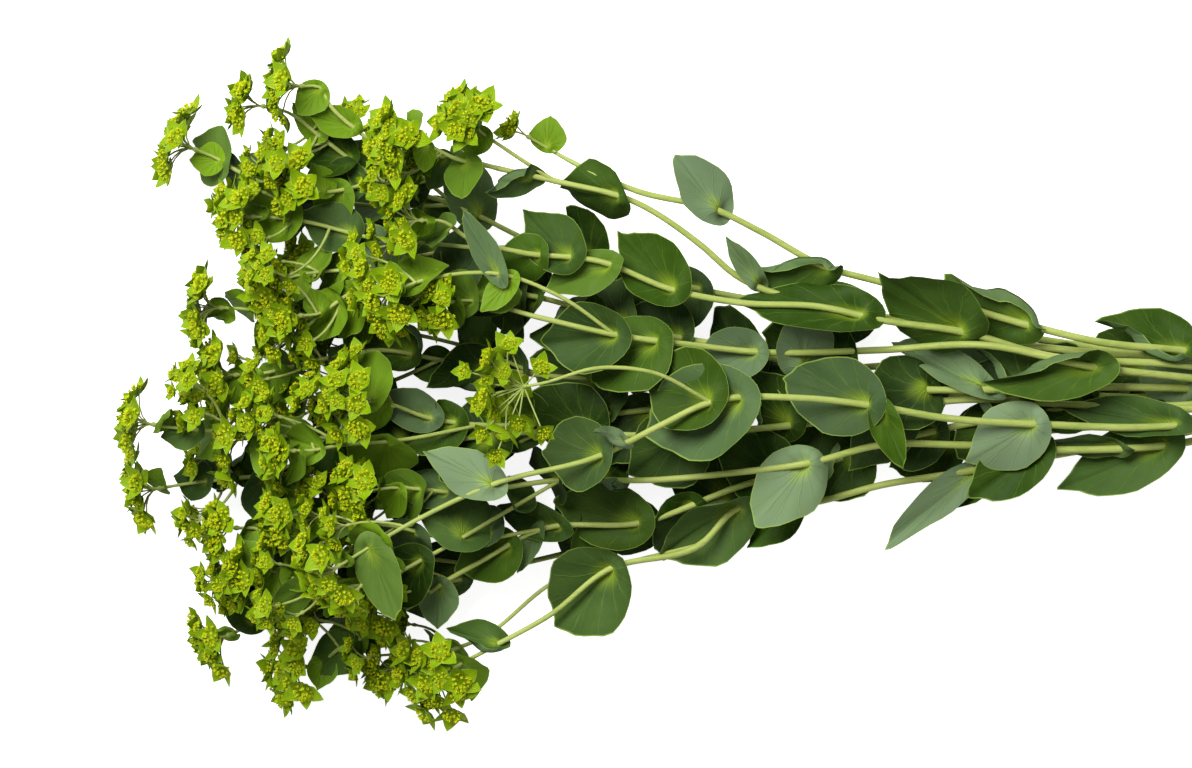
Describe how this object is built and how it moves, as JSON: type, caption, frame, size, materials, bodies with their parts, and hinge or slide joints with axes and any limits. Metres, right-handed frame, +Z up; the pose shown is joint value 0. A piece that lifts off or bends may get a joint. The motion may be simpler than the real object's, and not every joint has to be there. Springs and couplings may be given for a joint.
{
  "type": "bupleurum bunch",
  "caption": "Cut bunch of bupleurum lying on its side: leafy stems gathered by a band, with flat-topped heads of small yellow-green flowers fanned out at the far end.",
  "frame": {"origin": "middle of the bottom of the bounding box", "axes": "+X towards the cut ends of the stems, +Z up, away from the surface that the bunch lies on"},
  "size_m": [0.646, 0.3359, 0.1175],
  "materials": {
    "stem_and_leaf_green": "living green, satin leaf blades with pale veins and smooth pale stems",
    "umbel_yellow_green": "living yellow-green, soft satin bracts round matt florets",
    "band_tan": "matt tan rubber band"
  },
  "bodies": {
    "root": {"stem_01": "stem_and_leaf_green", "stem_02": "stem_and_leaf_green", "stem_03": "stem_and_leaf_green", "stem_04": "stem_and_leaf_green", "stem_05": "stem_and_leaf_green", "stem_06": "stem_and_leaf_green", "stem_07": "stem_and_leaf_green", "stem_08": "stem_and_leaf_green", "stem_09": "stem_and_leaf_green", "stem_10": "stem_and_leaf_green", "stem_11": "stem_and_leaf_green", "stem_12": "stem_and_leaf_green", "stem_13": "stem_and_leaf_green", "stem_14": "stem_and_leaf_green", "umbel_01": "umbel_yellow_green", "umbel_02": "umbel_yellow_green", "umbel_03": "umbel_yellow_green", "umbel_04": "umbel_yellow_green", "umbel_05": "umbel_yellow_green", "umbel_06": "umbel_yellow_green", "umbel_07": "umbel_yellow_green", "umbel_08": "umbel_yellow_green", "umbel_09": "umbel_yellow_green", "umbel_10": "umbel_yellow_green", "umbel_11": "umbel_yellow_green", "umbel_12": "umbel_yellow_green", "umbel_13": "umbel_yellow_green", "umbel_14": "umbel_yellow_green", "umbel_15": "umbel_yellow_green", "umbel_16": "umbel_yellow_green", "umbel_17": "umbel_yellow_green", "umbel_18": "umbel_yellow_green", "umbel_19": "umbel_yellow_green", "umbel_20": "umbel_yellow_green", "umbel_21": "umbel_yellow_green", "umbel_22": "umbel_yellow_green", "umbel_23": "umbel_yellow_green", "umbel_24": "umbel_yellow_green", "umbel_25": "umbel_yellow_green", "umbel_26": "umbel_yellow_green", "umbel_27": "umbel_yellow_green", "umbel_28": "umbel_yellow_green", "umbel_29": "umbel_yellow_green", "umbel_30": "umbel_yellow_green", "umbel_31": "umbel_yellow_green", "umbel_32": "umbel_yellow_green", "umbel_33": "umbel_yellow_green", "umbel_34": "umbel_yellow_green", "umbel_35": "umbel_yellow_green", "umbel_36": "umbel_yellow_green", "umbel_37": "umbel_yellow_green", "tie_band": "band_tan"}
  },
  "joints": []
}
